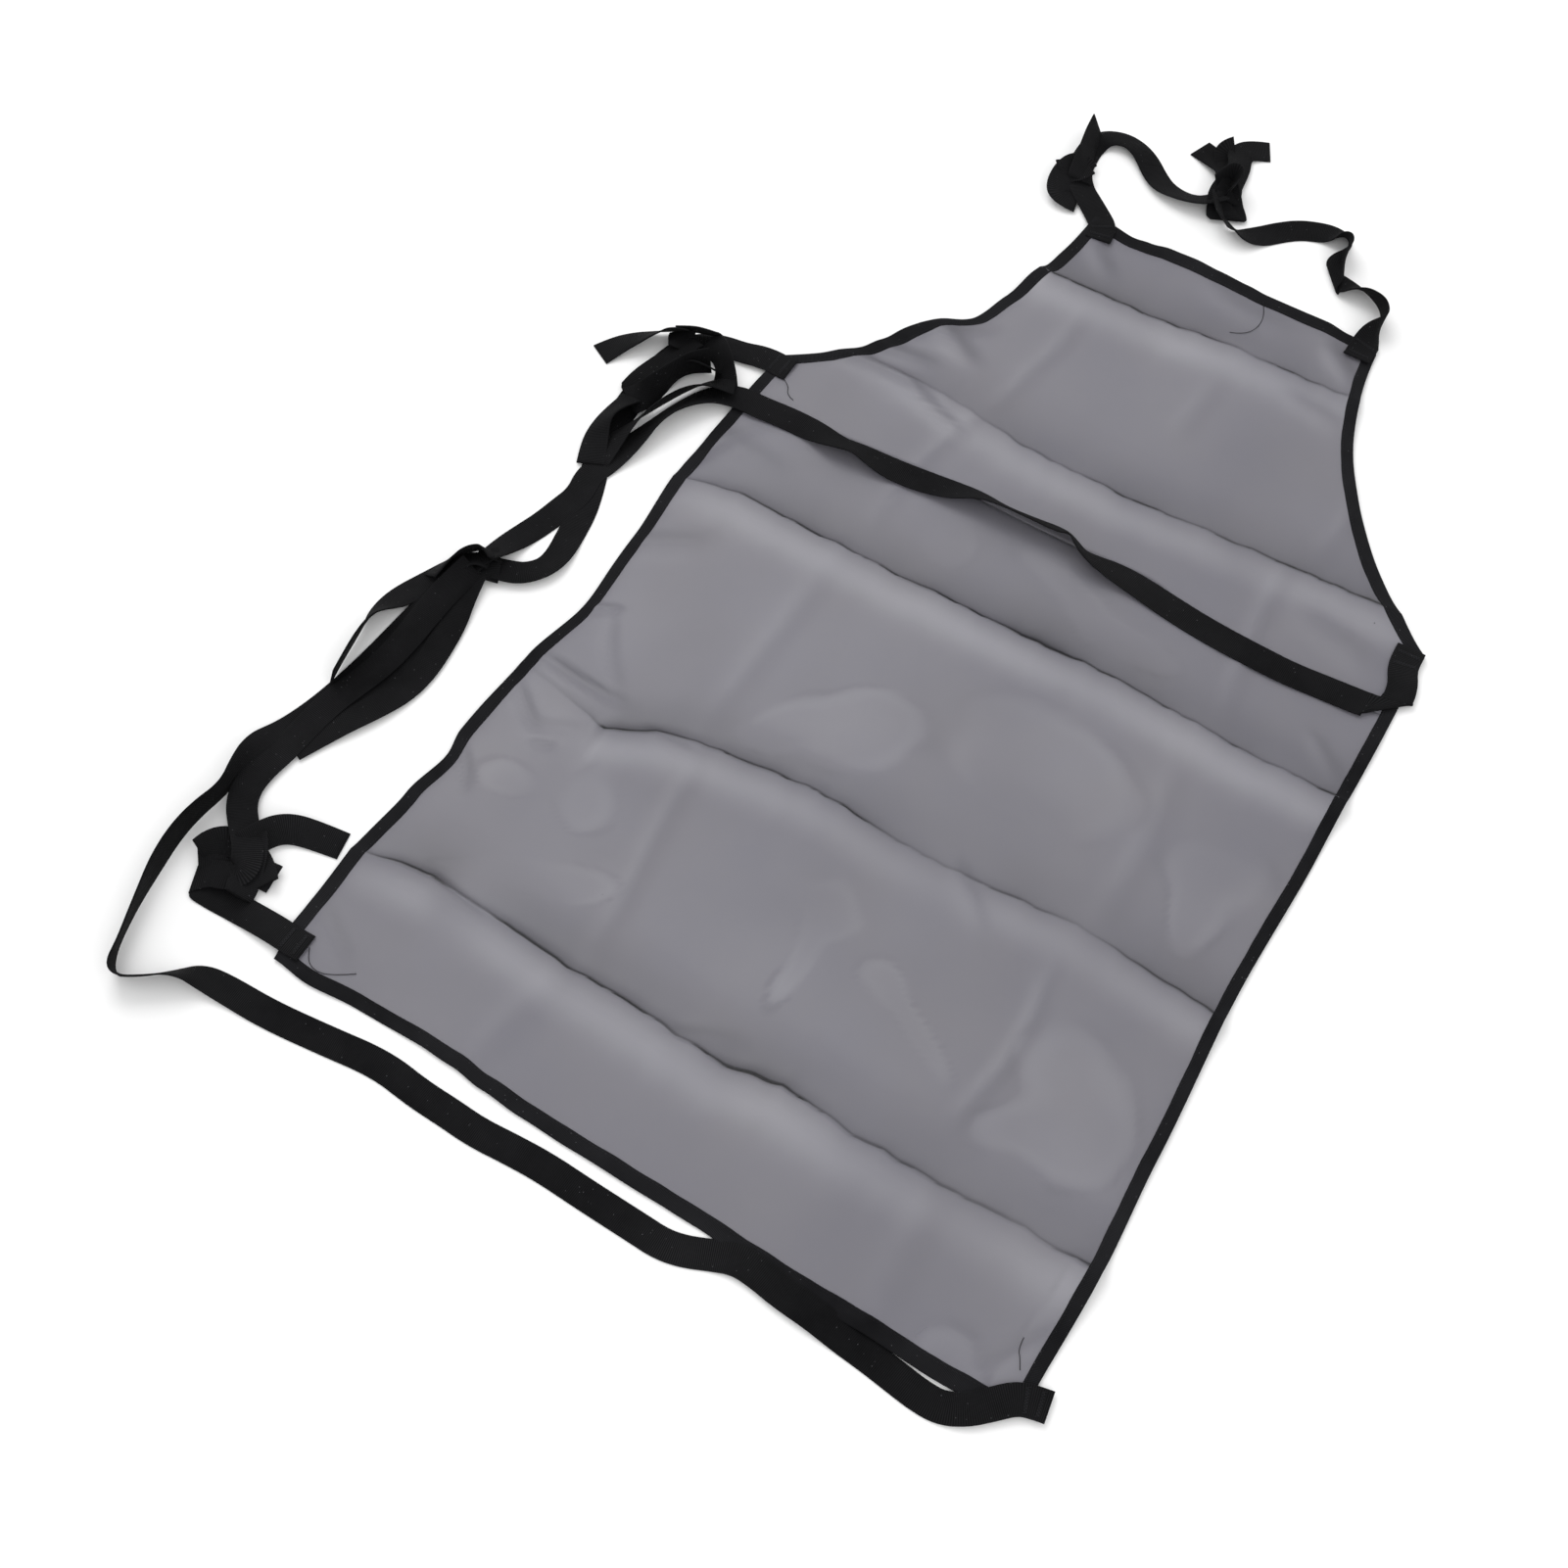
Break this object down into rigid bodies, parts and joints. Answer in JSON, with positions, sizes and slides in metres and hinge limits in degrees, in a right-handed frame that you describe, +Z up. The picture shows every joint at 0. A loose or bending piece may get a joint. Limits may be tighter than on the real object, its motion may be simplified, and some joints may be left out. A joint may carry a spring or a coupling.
{
  "type": "bib apron",
  "caption": "Full-length bib apron of thin tinted film with fabric-bound edges, a knotted neck loop and long webbing ties, laid flat with packing creases.",
  "frame": {"origin": "under the middle of the apron, on the surface it lies on: halfway across its width and halfway from the hem to the bib's top edge, ties left out", "axes": "+X across the apron, to the right of someone who looks down on it with the bib away from them; +Y from the hem to the bib; +Z up from the surface"},
  "size_m": [0.8121, 1.2659, 0.024],
  "materials": {
    "film": "smoke-tinted translucent film, soft sheen",
    "binding": "plain-woven black tape, folded and stitched",
    "webbing": "black ribbed webbing",
    "thread": "black sewing thread"
  },
  "bodies": {
    "waist_panel": {"film_waist": "film", "waist_side_binding_left": "binding", "waist_side_binding_right": "binding", "armhole_end_binding_left": "binding", "armhole_end_binding_right": "binding", "waist_seam": "thread", "waist_tie_end_left": "webbing", "waist_tie_end_right": "webbing", "waist_bar_tacks": "thread"},
    "skirt_panel": {"film_skirt": "film", "hem_binding": "binding", "skirt_side_binding_left": "binding", "skirt_side_binding_right": "binding", "skirt_seam": "thread", "hem_tie_end_left": "webbing", "hem_tie_end_right": "webbing", "hem_bar_tacks": "thread", "hem_tie_left": "webbing", "hem_tie_right": "webbing", "hem_knot": "webbing", "hem_bow": "webbing", "bundle_knot": "webbing"},
    "bib_panel": {"film_bib": "film", "armhole_binding_left": "binding", "armhole_binding_right": "binding", "bib_binding": "binding", "bib_seam": "thread", "neck_tie_end_left": "webbing", "neck_tie_end_right": "webbing", "neck_bar_tacks": "thread"},
    "neck_loop": {"neck_tie_left": "webbing", "neck_tie_right": "webbing", "neck_knot": "webbing", "neck_bow": "webbing"},
    "waist_ties": {"waist_tie_left": "webbing", "waist_tie_right": "webbing", "waist_knot": "webbing", "waist_bow": "webbing"}
  },
  "joints": [
    {"name": "skirt_fold", "type": "hinge", "parent": "waist_panel", "child": "skirt_panel", "pos_m": [0, 0.055, 0.002], "axis": [-1, 0, 0], "range_deg": [0, 90]},
    {"name": "bib_fold", "type": "hinge", "parent": "waist_panel", "child": "bib_panel", "pos_m": [0, 0.238, 0.002], "axis": [1, 0, 0], "range_deg": [0, 90]},
    {"name": "neck_loop_lift", "type": "hinge", "parent": "bib_panel", "child": "neck_loop", "pos_m": [0, 0.502, 0.0036], "axis": [1, 0, 0], "range_deg": [0, 60]},
    {"name": "waist_ties_lift", "type": "hinge", "parent": "waist_panel", "child": "waist_ties", "pos_m": [0, 0.216, 0.0036], "axis": [-1, 0, 0], "range_deg": [0, 80]}
  ]
}
